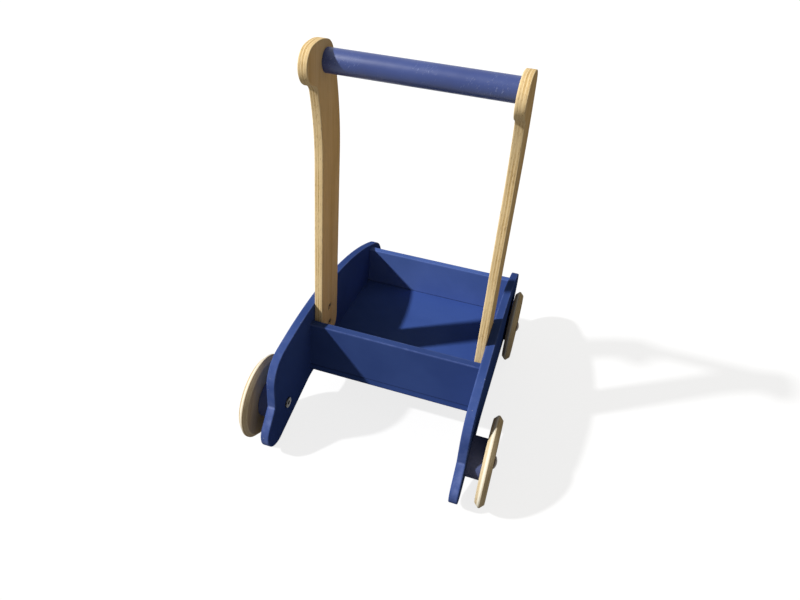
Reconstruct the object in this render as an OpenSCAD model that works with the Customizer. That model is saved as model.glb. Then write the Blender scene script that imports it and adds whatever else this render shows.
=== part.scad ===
// Baby push walker: a wheeled cargo box between two shaped side panels,
// with two plywood posts behind it that carry a round push bar.
// X runs across (right is positive), Y points forward and Z is up. The wheels stand on Z = 0
// and the origin lies on the ground under the middle of the overall length and width.
// All sizes are in millimetres.

/* [Cargo box] */
// Clear width between the side panels
box_w = 231; // [190:1:290]
// Clear length between the rear and front panels
box_l = 220; // [190:1:250]
// Thickness of the side panels
side_t = 11; // [9:0.5:15]
// Thickness of the rear and front panels
end_t = 11; // [9:0.5:15]
// Thickness of the floor board
floor_t = 9; // [8:0.5:12]
// Height of the floor board's underside above the ground
floor_z = 55; // [52:0.5:60]
// Height of the rear panel's top edge above the ground
rear_top_z = 131.5; // [115:0.5:140]
// Height of the front panel's top edge above the ground
front_top_z = 123.5; // [110:0.5:128]
// Distance from the rear axle forward to the rear panel's outer face
box_ahead = 70.5; // [66:0.5:80]
// Rounding of the end panels' upper edges
edge_r = 1; // [0.5:0.5:4]

/* [Side panel outline] */
// Height of the highest point of the top edge
crown_z = 158.5; // [152:0.5:170]
// Distance from the rear axle forward to that point
crown_ahead = 131.5; // [115:0.5:145]
// Radius of the long top edge
crown_r = 550; // [450:5:700]
// Radius of the round front end
nose_r = 50; // [44:0.5:54]
// Distance from the front axle forward to the centre of the front end
nose_ahead = 33; // [26:0.5:40]
// Radius of the rear upper corner
shoulder_r = 38.5; // [30:0.5:44]
// Distance from the rear axle forward to the centre of that corner
shoulder_ahead = 6.5; // [2:0.5:12]
// Radius of the round tail behind the rear axle
tail_r = 24.5; // [20:0.5:27]
// Distance from the rear axle back to the centre of the tail
tail_behind = 28.5; // [24:0.5:30]
// Height of the centre of the tail above the ground
tail_z = 36.5; // [33:0.5:42]
// Height of the notch between the tail and the rear upper corner
notch_z = 73; // [69:0.5:80]
// Rounding inside that notch
notch_r = 2.5; // [1:0.5:10]
// Slope of the lower edge in front of the tail, in degrees
leg_slope = 19; // [15:0.5:22]
// Slope of the lower edge behind the front end, in degrees
belly_slope = 5.5; // [3:0.5:8]
// Rounding where the two lower edges meet
belly_r = 80; // [40:5:120]

/* [Handle] */
// Diameter of the push bar
bar_d = 27; // [22:0.5:30]
// Height of the push bar's axis above the ground
bar_z = 471; // [430:1:520]
// Distance from the rear axle forward to the push bar's axis
bar_ahead = 92.5; // [84:0.5:98]
// Thickness of the posts
post_t = 11; // [9:0.5:15]
// Width of the posts
post_w = 51.5; // [42:0.5:56]
// Gap between the rear panel and the posts
post_gap = 3; // [1:0.5:8]
// Radius of the two round ends of a post's head
head_r = 21.5; // [19:0.5:25]
// Distance from the push bar back to the rear end's centre
head_back = 27; // [18:0.5:32]
// Radius of the domed top between those ends
crest_r = 76; // [50:1:120]
// Radius of the hollow under the back of the head
throat_r = 12.5; // [8:0.5:16]
// Radius of the bend in the front edge of a post
bend_r = 350; // [320:5:450]
// Diameter of the tenons on the ends of the push bar
tenon_d = 16; // [12:0.5:20]
// Length of the tenons
tenon_l = 7; // [5:0.5:7]
// Rounding of the push bar's end corners
bar_edge = 1; // [0.5:0.5:2]

/* [Post screws] */
// Height of the lower screw, also the centre of the post's round foot
screw_low_z = 111; // [106:0.5:118]
// Distance between the two screws of a post
screw_pitch = 27; // [20:0.5:30]
// Diameter of the screw shank
screw_d = 6; // [5:0.5:7]
// Diameter of the screw head
screw_head_d = 10; // [9:0.5:12]
// Height of the screw head
screw_head_h = 3.5; // [3:0.5:5]
// Depth of the screw head below the post's inner face
screw_sink = 0.8; // [0.2:0.1:2]
// Width across flats of the hexagon socket
socket_af = 4; // [3:0.5:5]
// Outer diameter of the insert nuts in the side panels
insert_d = 9; // [8.5:0.5:10]
// Length of the insert nuts
insert_l = 8; // [6:0.5:8]

/* [Wheels] */
// Diameter of the wheels
wheel_d = 110; // [100:1:116]
// Thickness of the wheels
wheel_t = 12; // [10:0.5:16]
// Width of the flat on the point of the rim
rim_flat = 2; // [1:0.5:4]
// Depth of the two bevels on the rim
rim_depth = 5; // [3:0.5:7]
// Distance from the front panel's inner face back to the front axle
front_axle_back = 18.5; // [14:0.5:28]
// Outer diameter of the spacers
spacer_d = 50; // [40:0.5:54]
// Length of the rear spacers
rear_spacer_l = 18; // [12:0.5:26]
// Length of the front spacers
front_spacer_l = 3; // [3:0.5:10]
// Bevel on the edges of the spacers
spacer_edge = 1; // [0.5:0.5:1.5]
// Diameter of the axle bolts
axle_d = 8; // [6:0.5:10]
// Outer diameter of the bushes in the wheels
bush_d = 12; // [11:0.5:14]
// Running clearance all round between bush and bolt
axle_fit = 0.06; // [0.02:0.01:0.1]
// Gap beside the wheel at each face
end_play = 0.4; // [0.3:0.1:0.8]
// Diameter of the dome heads of the axle bolts
axle_head_d = 15; // [14:0.5:18]
// Height of the dome heads
axle_head_h = 3.2; // [2.4:0.1:5]
// Outer diameter of the axle nuts inside the side panels
axle_nut_d = 11; // [10.5:0.5:12]
// Diameter of the flanges on the rear axle nuts
nut_flange_d = 14; // [13:0.5:18]
// Thickness of those flanges
nut_flange_t = 2; // [1.5:0.1:3]
// Width across flats of the hexagon sockets in the rear axle nuts
nut_socket_af = 5; // [4:0.5:6]

/* [Dowels] */
// Diameter of the dowels
dowel_d = 6; // [4:0.5:6]
// Length of dowel inside a side panel
dowel_in_side = 7; // [5:0.5:7]
// Length of dowel inside a board
dowel_in_board = 21; // [15:1:30]
// Distance from a board's edges to its dowels
dowel_edge = 15; // [10:0.5:20]
// Distance from the floor board's rear and front edges to its dowels
floor_dowel_edge = 60; // [40:1:80]

/* [Hidden] */
$fn = 64;
// Wood left between a blind hole and the far face
web = 1;
// Free play all round a shank in a plain hole
hole_play = 0.1;
// Degrees of arc between outline points
arc_step = 6;
// Room left at the bottom of a blind hole
blind_room = 0.5;
// Bevel on the ends of the dowels
dowel_tip = 0.8;
// Rounding of the screw heads and nut flanges
head_edge = 0.8;
// Free room all round a screw head in its recess
head_room = 0.5;
// Depth of the hexagon sockets
socket_depth = 2;
// Metal left between the socket and the thread of a rear axle nut
nut_wall = 1;
// Height of the straight rim below the dome of an axle bolt's head
head_rim = 0.8;

wheel_r = wheel_d / 2;
wheel_base = box_ahead + end_t + box_l - front_axle_back;
overall_l = wheel_r + wheel_base + nose_ahead + nose_r;
rear_axle_y = wheel_r - overall_l / 2;
front_axle_y = rear_axle_y + wheel_base;
inner_x = box_w / 2;
outer_x = inner_x + side_t;

rear_y = rear_axle_y + box_ahead;
front_y = rear_y + end_t + box_l;
floor_l = box_l + 2 * end_t;
floor_top_z = floor_z + floor_t;

bar_y = rear_axle_y + bar_ahead;
post_rear_y = rear_y + end_t + post_gap;
post_mid_y = post_rear_y + post_w / 2;
post_front_y = post_rear_y + post_w;
screw_high_z = screw_low_z + screw_pitch;

rear_wheel_x = outer_x + rear_spacer_l + end_play;
front_wheel_x = outer_x + front_spacer_l + end_play;
axle_nut_l = side_t - web;

paint = "#3c5496";
plywood = "#e0c48f";
beech = "#c9a26a";
zinc = "#b4b8bc";
nylon = "#e8e6df";

// Outline geometry, in the plane of Y and Z

function polar(r, a) = r * [cos(a), sin(a)];

// Points on an arc from angle a to angle b
function arc(c, r, a, b) =
    let (n = max(2, ceil(abs(b - a) / arc_step)))
    [for (i = [0:n]) c + polar(r, a + (b - a) * i / n)];

// Where the line through p at angle a meets the line through q at angle b
function meet(p, a, q, b) =
    let (d = q - p, s = (d.x * sin(b) - d.y * cos(b)) / sin(b - a))
    p + polar(s, a);

function heading(p, q) = atan2(q.y - p.y, q.x - p.x);

// An arc of radius r that rounds the corner p between the points before and after it
function rounded(before, p, after, r) =
    let (
        u = polar(1, heading(p, before)),
        v = polar(1, heading(p, after)),
        half = acos(u * v) / 2,
        c = p + (u + v) * r / (norm(u + v) * sin(half)),
        start = heading(c, p + u * r / tan(half)),
        end = heading(c, p + v * r / tan(half))
    )
    arc(c, r, start, start + (end - start + 540) % 360 - 180);

// Centre of a circle at distance ra from a and rb from b, on the left of the way from a to b
function two_reach(a, ra, b, rb) =
    let (d = norm(b - a), u = (ra * ra - rb * rb + d * d) / (2 * d))
    a + polar(u, heading(a, b)) + polar(sqrt(ra * ra - u * u), heading(a, b) + 90);

// Side panel: a long crowned top edge that runs into a round nose and a rear shoulder,
// a round tail below the notch and a lower edge that rises between the wheels
function side_outline() =
    let (
        crown = [rear_axle_y + crown_ahead, crown_z - crown_r],
        nose_y = front_axle_y + nose_ahead,
        nose_rise = crown_r - nose_r,
        nose = [nose_y, crown.y + sqrt(pow(nose_rise, 2) - pow(nose_y - crown.x, 2))],
        shoulder_y = rear_axle_y + shoulder_ahead,
        shoulder_rise = crown_r - shoulder_r,
        shoulder = [shoulder_y, crown.y + sqrt(pow(shoulder_rise, 2) - pow(shoulder_y - crown.x, 2))],
        tail = [rear_axle_y - tail_behind, tail_z],
        back = shoulder - [shoulder_r, 0],
        notch = [back.x, notch_z],
        tail_start = heading(tail, notch) + acos(tail_r / norm(notch - tail)),
        leg_foot = tail + polar(tail_r, leg_slope - 90),
        belly_end = nose + polar(nose_r, -90 - belly_slope),
        belly = meet(leg_foot, leg_slope, belly_end, -belly_slope)
    )
    concat(
        arc(nose, nose_r, -90 - belly_slope, heading(crown, nose)),
        arc(crown, crown_r, heading(crown, nose), heading(crown, shoulder)),
        arc(shoulder, shoulder_r, heading(crown, shoulder), 180),
        rounded(back, notch, tail + polar(tail_r, tail_start), notch_r),
        arc(tail, tail_r, tail_start, 270 + leg_slope),
        rounded(leg_foot, belly, belly_end, belly_r)
    );

// Post: a round foot, a straight shank that bends back near the top, and a head with a domed top
function post_outline() =
    let (
        foot = [post_mid_y, screw_low_z],
        bar = [bar_y, bar_z],
        back = bar - [head_back, 0],
        bend_y = post_front_y - bend_r,
        bend = [bend_y, bar_z - sqrt(pow(bend_r - head_r, 2) - pow(bar_y - bend_y, 2))],
        rear_r = bend_r - post_w,
        crest = two_reach(bar, crest_r - head_r, back, crest_r - head_r),
        throat = two_reach(back, head_r + throat_r, bend, rear_r - throat_r)
    )
    concat(
        arc(foot, post_w / 2, 180, 360),
        arc(bend, bend_r, 0, heading(bend, bar)),
        arc(bar, head_r, heading(bend, bar), heading(crest, bar)),
        arc(crest, crest_r, heading(crest, bar), heading(crest, back)),
        arc(back, head_r, heading(crest, back), 360 + heading(back, throat)),
        arc(throat, throat_r, heading(throat, back), heading(bend, throat)),
        arc(bend, rear_r, heading(bend, throat), 0)
    );

// Cross-section of an end panel, its outer face at y and its upper edges rounded
function end_outline(y, top) =
    concat(
        [[y, floor_top_z], [y + end_t, floor_top_z]],
        arc([y + end_t - edge_r, top - edge_r], edge_r, 0, 90),
        arc([y + edge_r, top - edge_r], edge_r, 90, 180)
    );

// Places of the dowels in Y and Z, on one side
rear_dowels = [for (z = [floor_top_z + dowel_edge, rear_top_z - dowel_edge]) [rear_y + end_t / 2, z]];
front_dowels = [for (z = [floor_top_z + dowel_edge, front_top_z - dowel_edge]) [front_y + end_t / 2, z]];
floor_dowels = [
    for (y = [rear_y + floor_dowel_edge, rear_y + floor_l - floor_dowel_edge]) [y, floor_z + floor_t / 2]
];
screw_places = [for (z = [screw_low_z, screw_high_z]) [post_mid_y, z]];

// Shared shapes. Left-hand pieces are the right-hand ones mirrored.

module left_hand()
    mirror([1, 0, 0]) children();

module both_hands() {
    children();
    left_hand() children();
}

// A flat outline in Y and Z, made into a board of thickness t that starts at x
module board(x, t)
    translate([x, 0, 0]) rotate([90, 0, 90]) linear_extrude(t) children();

// A shape turned about its own Z, laid along X at a place in Y and Z
module along_x(x, place)
    translate([x, place.x, place.y]) rotate([0, 90, 0]) children();

module hole(x, place, d, l)
    along_x(x, place) cylinder(d = d, h = l);

module ring(outer_d, inner_d, l)
    difference() {
        cylinder(d = outer_d, h = l);
        translate([0, 0, -web]) cylinder(d = inner_d, h = l + 2 * web);
    }

module hex_socket(af)
    translate([0, 0, -web]) cylinder(d = af / cos(30), h = web + socket_depth, $fn = 6);

rear_axle = [rear_axle_y, wheel_r];
front_axle = [front_axle_y, wheel_r];

// Boards

module side_panel()
    color(paint) difference() {
        board(inner_x, side_t) polygon(side_outline());
        hole(inner_x - web, rear_axle, axle_d + 2 * hole_play, side_t + 2 * web);
        hole(inner_x - web, rear_axle, axle_nut_d, web + axle_nut_l);
        hole(outer_x - axle_nut_l, front_axle, axle_nut_d, side_t);
        for (p = concat(rear_dowels, front_dowels, floor_dowels))
            hole(inner_x - web, p, dowel_d, web + dowel_in_side + blind_room);
        for (p = screw_places)
            hole(inner_x - web, p, insert_d, web + insert_l + blind_room);
    }

module dowelled_board(places)
    color(paint) difference() {
        children();
        both_hands()
            for (p = places)
                hole(inner_x - dowel_in_board - blind_room, p, dowel_d, dowel_in_board + blind_room + web);
    }

module rear_panel()
    dowelled_board(rear_dowels) board(-inner_x, box_w) polygon(end_outline(rear_y, rear_top_z));

module front_panel()
    dowelled_board(front_dowels) board(-inner_x, box_w) polygon(end_outline(front_y, front_top_z));

module floor_board()
    dowelled_board(floor_dowels) translate([-inner_x, rear_y, floor_z]) cube([box_w, floor_l, floor_t]);

module dowels(places)
    color(beech) both_hands()
        for (p = places)
            along_x(inner_x - dowel_in_board, p) rotate_extrude() dowel_profile();

module dowel_profile() {
    r = dowel_d / 2;
    l = dowel_in_board + dowel_in_side;
    polygon([
        [0, 0], [r - dowel_tip, 0], [r, dowel_tip], [r, l - dowel_tip], [r - dowel_tip, l], [0, l]
    ]);
}

// Handle

module handle_post()
    color(plywood) difference() {
        board(inner_x - post_t, post_t) polygon(post_outline());
        hole(inner_x - post_t - web, [bar_y, bar_z], tenon_d, web + tenon_l + blind_room);
        for (p = screw_places) {
            hole(inner_x - post_t - web, p, screw_d + 2 * hole_play, post_t + 2 * web);
            hole(inner_x - post_t - web, p, screw_head_d + 2 * head_room, web + screw_sink + screw_head_h);
        }
    }

module handle_bar() {
    half = inner_x - post_t;
    r = bar_d / 2;
    half_profile = [
        [r, half - bar_edge], [r - bar_edge, half], [tenon_d / 2, half],
        [tenon_d / 2, half + tenon_l], [0, half + tenon_l]
    ];
    color(paint) along_x(0, [bar_y, bar_z]) rotate_extrude()
        polygon(concat(half_profile, [for (i = [4:-1:0]) [half_profile[i].x, -half_profile[i].y]]));
}

module post_screws()
    color(zinc)
        for (p = screw_places)
            along_x(inner_x - post_t + screw_sink, p) difference() {
                rotate_extrude() screw_profile();
                hex_socket(socket_af);
            }

module screw_profile() {
    r = screw_head_d / 2;
    end = post_t - screw_sink + insert_l;
    polygon(concat(
        [[0, end], [0, 0]],
        arc([r - head_edge, head_edge], head_edge, -90, 0),
        [[r, screw_head_h], [screw_d / 2, screw_head_h], [screw_d / 2, end]]
    ));
}

module post_insert_nuts()
    color(zinc)
        for (p = screw_places)
            along_x(inner_x, p) ring(insert_d, screw_d, insert_l);

// Running gear. Each module takes the axle's place and the X of the wheel's inner face.

module wheel(axle, x)
    color(plywood) along_x(x, axle) rotate_extrude() wheel_profile();

module wheel_profile() {
    mid = wheel_t / 2;
    shoulder = wheel_r - rim_depth;
    polygon([
        [bush_d / 2, 0], [shoulder, 0], [wheel_r, mid - rim_flat / 2],
        [wheel_r, mid + rim_flat / 2], [shoulder, wheel_t], [bush_d / 2, wheel_t]
    ]);
}

module bush(axle, x)
    color(nylon) along_x(x, axle) ring(bush_d, axle_d + 2 * axle_fit, wheel_t);

module spacer(axle, l)
    color(paint) along_x(outer_x, axle) rotate_extrude() spacer_profile(l);

module spacer_profile(l) {
    r = spacer_d / 2;
    bore_r = axle_d / 2 + hole_play;
    polygon([
        [bore_r, 0], [r - spacer_edge, 0], [r, spacer_edge],
        [r, l - spacer_edge], [r - spacer_edge, l], [bore_r, l]
    ]);
}

// Dome-headed bolt whose shank runs in to the X called tip
module axle_bolt(axle, x, tip)
    color(zinc) along_x(tip, axle) rotate_extrude() bolt_profile(head_x(x) - tip);

function head_x(x) = x + wheel_t + end_play;

module bolt_profile(shank_l) {
    r = axle_head_d / 2;
    rise = axle_head_h - head_rim;
    dome_r = (r * r + rise * rise) / (2 * rise);
    polygon(concat(
        [[0, 0], [axle_d / 2, 0], [axle_d / 2, shank_l], [r, shank_l]],
        arc([0, shank_l + axle_head_h - dome_r], dome_r, acos(r / dome_r), 90)
    ));
}

// Flanged nut with a blind thread, pushed into the side panel from inside
module rear_nut()
    color(zinc) along_x(inner_x - nut_flange_t, rear_axle) difference() {
        rotate_extrude() nut_profile();
        hex_socket(nut_socket_af);
        translate([0, 0, socket_depth + nut_wall]) cylinder(d = axle_d, h = nut_flange_t + side_t);
    }

module nut_profile() {
    r = nut_flange_d / 2;
    end = nut_flange_t + axle_nut_l;
    polygon(concat(
        [[0, end], [0, 0]],
        arc([r - head_edge, head_edge], head_edge, -90, 0),
        [[r, nut_flange_t], [axle_nut_d / 2, nut_flange_t], [axle_nut_d / 2, end]]
    ));
}

module front_axle_insert()
    color(zinc) along_x(outer_x - axle_nut_l, front_axle) ring(axle_nut_d, axle_d, axle_nut_l);

module rear_bolt()
    axle_bolt(rear_axle, rear_wheel_x, inner_x - nut_flange_t + socket_depth + nut_wall + blind_room);

module front_bolt()
    axle_bolt(front_axle, front_wheel_x, outer_x - axle_nut_l);

left_hand() side_panel();  // left_side_panel
side_panel();  // right_side_panel
rear_panel();
front_panel();
floor_board();
left_hand() handle_post();  // left_handle_post
handle_post();  // right_handle_post
handle_bar();
left_hand() post_screws();  // left_post_screws
post_screws();  // right_post_screws
left_hand() post_insert_nuts();  // left_post_insert_nuts
post_insert_nuts();  // right_post_insert_nuts
dowels(rear_dowels);  // rear_panel_dowels
dowels(front_dowels);  // front_panel_dowels
dowels(floor_dowels);  // floor_board_dowels
left_hand() wheel(rear_axle, rear_wheel_x);  // rear_left_wheel
wheel(rear_axle, rear_wheel_x);  // rear_right_wheel
left_hand() wheel(front_axle, front_wheel_x);  // front_left_wheel
wheel(front_axle, front_wheel_x);  // front_right_wheel
left_hand() bush(rear_axle, rear_wheel_x);  // rear_left_bush
bush(rear_axle, rear_wheel_x);  // rear_right_bush
left_hand() bush(front_axle, front_wheel_x);  // front_left_bush
bush(front_axle, front_wheel_x);  // front_right_bush
left_hand() spacer(rear_axle, rear_spacer_l);  // rear_left_spacer
spacer(rear_axle, rear_spacer_l);  // rear_right_spacer
left_hand() spacer(front_axle, front_spacer_l);  // front_left_spacer
spacer(front_axle, front_spacer_l);  // front_right_spacer
left_hand() rear_bolt();  // rear_left_axle_bolt
rear_bolt();  // rear_right_axle_bolt
left_hand() front_bolt();  // front_left_axle_bolt
front_bolt();  // front_right_axle_bolt
left_hand() rear_nut();  // rear_left_axle_nut
rear_nut();  // rear_right_axle_nut
left_hand() front_axle_insert();  // front_left_axle_insert_nut
front_axle_insert();  // front_right_axle_insert_nut
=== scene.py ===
import math

import bmesh
import bpy
from mathutils import Matrix, Vector


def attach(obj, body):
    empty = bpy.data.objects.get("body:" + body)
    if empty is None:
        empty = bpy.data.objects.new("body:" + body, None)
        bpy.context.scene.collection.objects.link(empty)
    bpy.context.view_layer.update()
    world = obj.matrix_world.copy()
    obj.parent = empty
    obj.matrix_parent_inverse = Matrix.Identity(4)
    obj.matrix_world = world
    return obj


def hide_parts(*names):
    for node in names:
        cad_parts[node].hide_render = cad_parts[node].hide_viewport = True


# Baby push walker: a blue cargo box between shaped side panels on four plywood wheels,
# with two plywood posts that carry a round push bar.
# Sizes are in millimetres until a mesh is made; X runs across, Y forward and Z up.

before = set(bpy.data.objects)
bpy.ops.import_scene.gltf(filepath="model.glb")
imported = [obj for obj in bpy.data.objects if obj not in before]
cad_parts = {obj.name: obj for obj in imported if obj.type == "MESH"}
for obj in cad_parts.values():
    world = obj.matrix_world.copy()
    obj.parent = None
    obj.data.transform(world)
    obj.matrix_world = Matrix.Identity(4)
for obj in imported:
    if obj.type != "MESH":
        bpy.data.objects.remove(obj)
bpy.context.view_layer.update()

MM = 0.001

# Cargo box
BOX_W = 231.0
BOX_L = 220.0
SIDE_T = 11.0
END_T = 11.0
FLOOR_T = 9.0
FLOOR_Z = 55.0
REAR_TOP_Z = 131.5
FRONT_TOP_Z = 123.5
BOX_AHEAD = 70.5

# Side panel outline
CROWN_Z = 158.5
CROWN_AHEAD = 131.5
CROWN_R = 550.0
NOSE_R = 50.0
NOSE_AHEAD = 33.0
SHOULDER_R = 38.5
SHOULDER_AHEAD = 6.5
TAIL_R = 24.5
TAIL_BEHIND = 28.5
TAIL_Z = 36.5
NOTCH_Z = 73.0
NOTCH_R = 2.5
LEG_SLOPE = 19.0
BELLY_SLOPE = 5.5
BELLY_R = 80.0

# Handle
BAR_D = 27.0
BAR_Z = 471.0
BAR_AHEAD = 92.5
POST_T = 11.0
POST_W = 51.5
POST_GAP = 3.0
HEAD_R = 21.5
HEAD_BACK = 27.0
CREST_R = 76.0
THROAT_R = 12.5
BEND_R = 350.0
TENON_D = 16.0
TENON_L = 7.0

# Post screws
SCREW_LOW_Z = 111.0
SCREW_PITCH = 27.0
SCREW_D = 6.0
SCREW_HEAD_D = 10.0
SCREW_HEAD_H = 3.5
SCREW_SINK = 0.8
HEAD_ROOM = 0.5
SOCKET_AF = 4.0
SOCKET_DEPTH = 2.0
SOCKET_POINT = 0.5
SCREW_MOUTH = 0.25
INSERT_D = 9.0
INSERT_L = 8.0

# Wheels and spacers
WHEEL_D = 110.0
WHEEL_T = 12.0
RIM_FLAT = 2.0
RIM_DEPTH = 5.0
FRONT_AXLE_BACK = 18.5
SPACER_D = 50.0
REAR_SPACER_L = 18.0
FRONT_SPACER_L = 3.0
BUSH_D = 12.0
END_PLAY = 0.4

# Axle bolts and their nuts. A thread's ridge is given by X along the pitch and depth.
AXLE_D = 8.0
DOME_D = 15.0
DOME_H = 3.2
DOME_RIM = 0.8
DOME_EDGE = 0.3
TIP_BEVEL = 0.9
TIP_L = 0.5
THREAD_PITCH = 1.25
THREAD_RIDGE = ((0.15, 0.55), (0.55, 0.0), (0.75, 0.0))
NUT_D = 11.0
NUT_L = 10.0
NUT_FLANGE_D = 14.0
NUT_FLANGE_T = 2.0
NUT_SOCKET_AF = 5.0
NUT_WALL = 1.0
NUT_MOUTH = 0.3

# Soft rim of a nut's flange or a screw's head, and its points as shares of it:
# along X from the face, and in from the side
SOFT_RIM = 0.8
SOFT_STEPS = ((0.0, 1.0), (0.1, 0.5), (0.3, 0.2), (1.0, 0.0))

# Dowels and the play in their holes
DOWEL_D = 6.0
DOWEL_IN_SIDE = 7.0
DOWEL_IN_BOARD = 21.0
DOWEL_EDGE = 15.0
FLOOR_DOWEL_EDGE = 60.0
BLIND_ROOM = 0.5
HOLE_PLAY = 0.1

# Eased edges
PANEL_EASE = 1.0
POST_EASE = 1.1
TOP_EASE = 1.0
SEAM_EASE = 0.6
BUTT_EASE = 0.2
RIM_EASE = 0.8
TURNED_EASE = 1.0
BAR_EASE = 1.0
EASE_STEPS = 4

# Marks on edge points: above nought the paint is paler, thin from use and a painted sheen, most round the
# tail with a painted highlight in the notch; below nought painted shade in the seams; then the widths over
# which it fades
EDGE_WEAR_AND_SHEEN = 1.0
BAR_EDGE_WEAR_AND_SHEEN = 0.6
SEAM_SHADE = -0.6
FLOOR_EDGE_SHADE = -0.3
TAIL_WEAR_AND_SHEEN = 2.3
NOTCH_WEAR_AND_HIGHLIGHT = 4.5
UPPER_WEAR_AND_SHEEN = 0.9
TAIL_SHEEN_AHEAD = 45.0
WEAR_BAND = 1.2
SPACER_BAND = 0.5

# Degrees and millimetres between outline points, and steps round and along a piece
ARC_STEP = 4.0
ARC_PITCH = 5.0
STEPS_ROUND = 144
STEPS_ROUND_SMALL = 60
STEPS_ROUND_BORE = 72
DOME_STEPS = 10
BAR_STEPS = 7

# Points nearer than POINT_GAP or WELD are one, a cutter starts OVERCUT outside its piece,
# a ring round an axis has at least MIDDLE_R, and edges sharper than SHARP_ANGLE stay sharp
POINT_GAP = 0.01
WELD = 0.002
OVERCUT = 1.0
MIDDLE_R = 0.02
SHARP_ANGLE = 32.0

# Plies of the posts and wheels. A wheel's grain is turned by these degrees about its axle,
# and its edge is palest at this share of its thickness, on the bevel toward the key light: painted light.
POST_PLIES = 7
WHEEL_PLIES = 9
WHEEL_TURN = {"rear_left": 24.0, "rear_right": -38.0, "front_left": 71.0, "front_right": 112.0}
WHEEL_LIT_CORE = {"left": 0.60, "right": 0.40}

wheel_r = WHEEL_D / 2
wheel_base = BOX_AHEAD + END_T + BOX_L - FRONT_AXLE_BACK
overall_l = wheel_r + wheel_base + NOSE_AHEAD + NOSE_R
rear_axle_y = wheel_r - overall_l / 2
front_axle_y = rear_axle_y + wheel_base
inner_x = BOX_W / 2
outer_x = inner_x + SIDE_T
rear_y = rear_axle_y + BOX_AHEAD
front_y = rear_y + END_T + BOX_L
floor_top_z = FLOOR_Z + FLOOR_T
bar_y = rear_axle_y + BAR_AHEAD
post_rear_y = rear_y + END_T + POST_GAP
post_mid_y = post_rear_y + POST_W / 2
post_front_y = post_rear_y + POST_W
post_x = inner_x - POST_T
AXLE_Y = {"rear": rear_axle_y, "front": front_axle_y}
SPACER_L = {"rear": REAR_SPACER_L, "front": FRONT_SPACER_L}
WHEEL_X = {end: outer_x + SPACER_L[end] + END_PLAY for end in SPACER_L}
BOLT_TIP = {
    "rear": inner_x - NUT_FLANGE_T + SOCKET_DEPTH + NUT_WALL + BLIND_ROOM,
    "front": outer_x - NUT_L,
}
HAND = {"left": -1.0, "right": 1.0}


# Nodes, for finishes and for shapes

def add(tree, kind, inputs=(), **settings):
    """A new node. Each input takes a plain value or another node's output."""
    node = tree.nodes.new(kind)
    for key, value in settings.items():
        setattr(node, key, value)
    for key, value in dict(inputs).items():
        if isinstance(value, bpy.types.NodeSocket):
            tree.links.new(value, node.inputs[key])
        else:
            node.inputs[key].default_value = value
    return node


def reckon(tree, operation, first, second=0.0):
    """One step of arithmetic."""
    return add(tree, "ShaderNodeMath", {0: first, 1: second}, operation=operation).outputs[0]


def speckle(tree, place, scale=1.0, detail=2.0, rough=0.5, swirl=0.0):
    """Noise over a place."""
    inputs = {"Vector": place, "Scale": scale, "Detail": detail, "Roughness": rough, "Distortion": swirl}
    return add(tree, "ShaderNodeTexNoise", inputs).outputs[0]


def stretched(tree, place, scale, turn=(0.0, 0.0, 0.0)):
    """A place turned and then scaled."""
    rotated = add(tree, "ShaderNodeMapping", {"Vector": place, "Rotation": turn}).outputs[0]
    return add(tree, "ShaderNodeMapping", {"Vector": rotated, "Scale": scale}).outputs[0]


def spread(tree, value, low, high, to_low=0.0, to_high=1.0):
    """A value moved smoothly from one range to another."""
    inputs = {"Value": value, "From Min": low, "From Max": high, "To Min": to_low, "To Max": to_high}
    return add(tree, "ShaderNodeMapRange", inputs, interpolation_type="SMOOTHSTEP").outputs[0]


def blended(tree, amount, first, second):
    """The first colour at nought, the second at one."""
    node = add(tree, "ShaderNodeMix", {0: amount, 6: first, 7: second}, data_type="RGBA")
    return node.outputs[2]


def bumped(tree, height, depth, under=None):
    """A bump of this depth in millimetres, over another if given."""
    inputs = {"Height": height, "Distance": depth * MM, "Strength": 1.0}
    if under is not None:
        inputs["Normal"] = under
    return add(tree, "ShaderNodeBump", inputs).outputs[0]


def tone(red, green, blue):
    """A colour as the eye reads it, 0 to 255, made linear."""
    def linear(value):
        part = value / 255
        return part / 12.92 if part <= 0.04045 else ((part + 0.055) / 1.055) ** 2.4
    return (linear(red), linear(green), linear(blue), 1.0)


def new_finish(name):
    """A new material, its tree and its shader."""
    material = bpy.data.materials.new(name)
    material.use_nodes = True
    tree = material.node_tree
    return material, tree, tree.nodes["Principled BSDF"]


def new_object_finish(name):
    """A new material, its tree, its shader and the place on the object."""
    material, tree, shader = new_finish(name)
    return material, tree, shader, add(tree, "ShaderNodeTexCoord").outputs["Object"]


def dress(tree, shader, colour, roughness, surface):
    """Links a finish's colour, roughness and bumps to its shader."""
    tree.links.new(colour, shader.inputs["Base Color"])
    tree.links.new(roughness, shader.inputs["Roughness"])
    tree.links.new(surface, shader.inputs["Normal"])


# Finishes. In spread, the two numbers after a noise are the part of its range in use.

# One blue paint in copies per board: the floor, front panel and spacers lighter and the side and rear
# panels darker, standing in for light and shade on them: painted light and painted shade
SIDE_SHADED_BLUES = (tone(54, 75, 135), tone(59, 82, 144))
FLOOR_LIT_BLUES = (tone(56, 80, 145), tone(62, 87, 154))
FRONT_LIT_BLUES = (tone(75, 100, 166), tone(83, 108, 176))
REAR_SHADED_BLUES = (tone(52, 72, 128), tone(57, 78, 135))
SPACER_LIT_BLUES = (tone(80, 90, 132), tone(94, 105, 150))
BAR_BLUES = (tone(44, 64, 127), tone(54, 75, 139))
# Paler blue for thin paint and painted sheen on edges, and for scuffs
WORN_AND_SHEEN_BLUE = tone(112, 128, 184)
PRIMER = tone(196, 199, 208)
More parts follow.
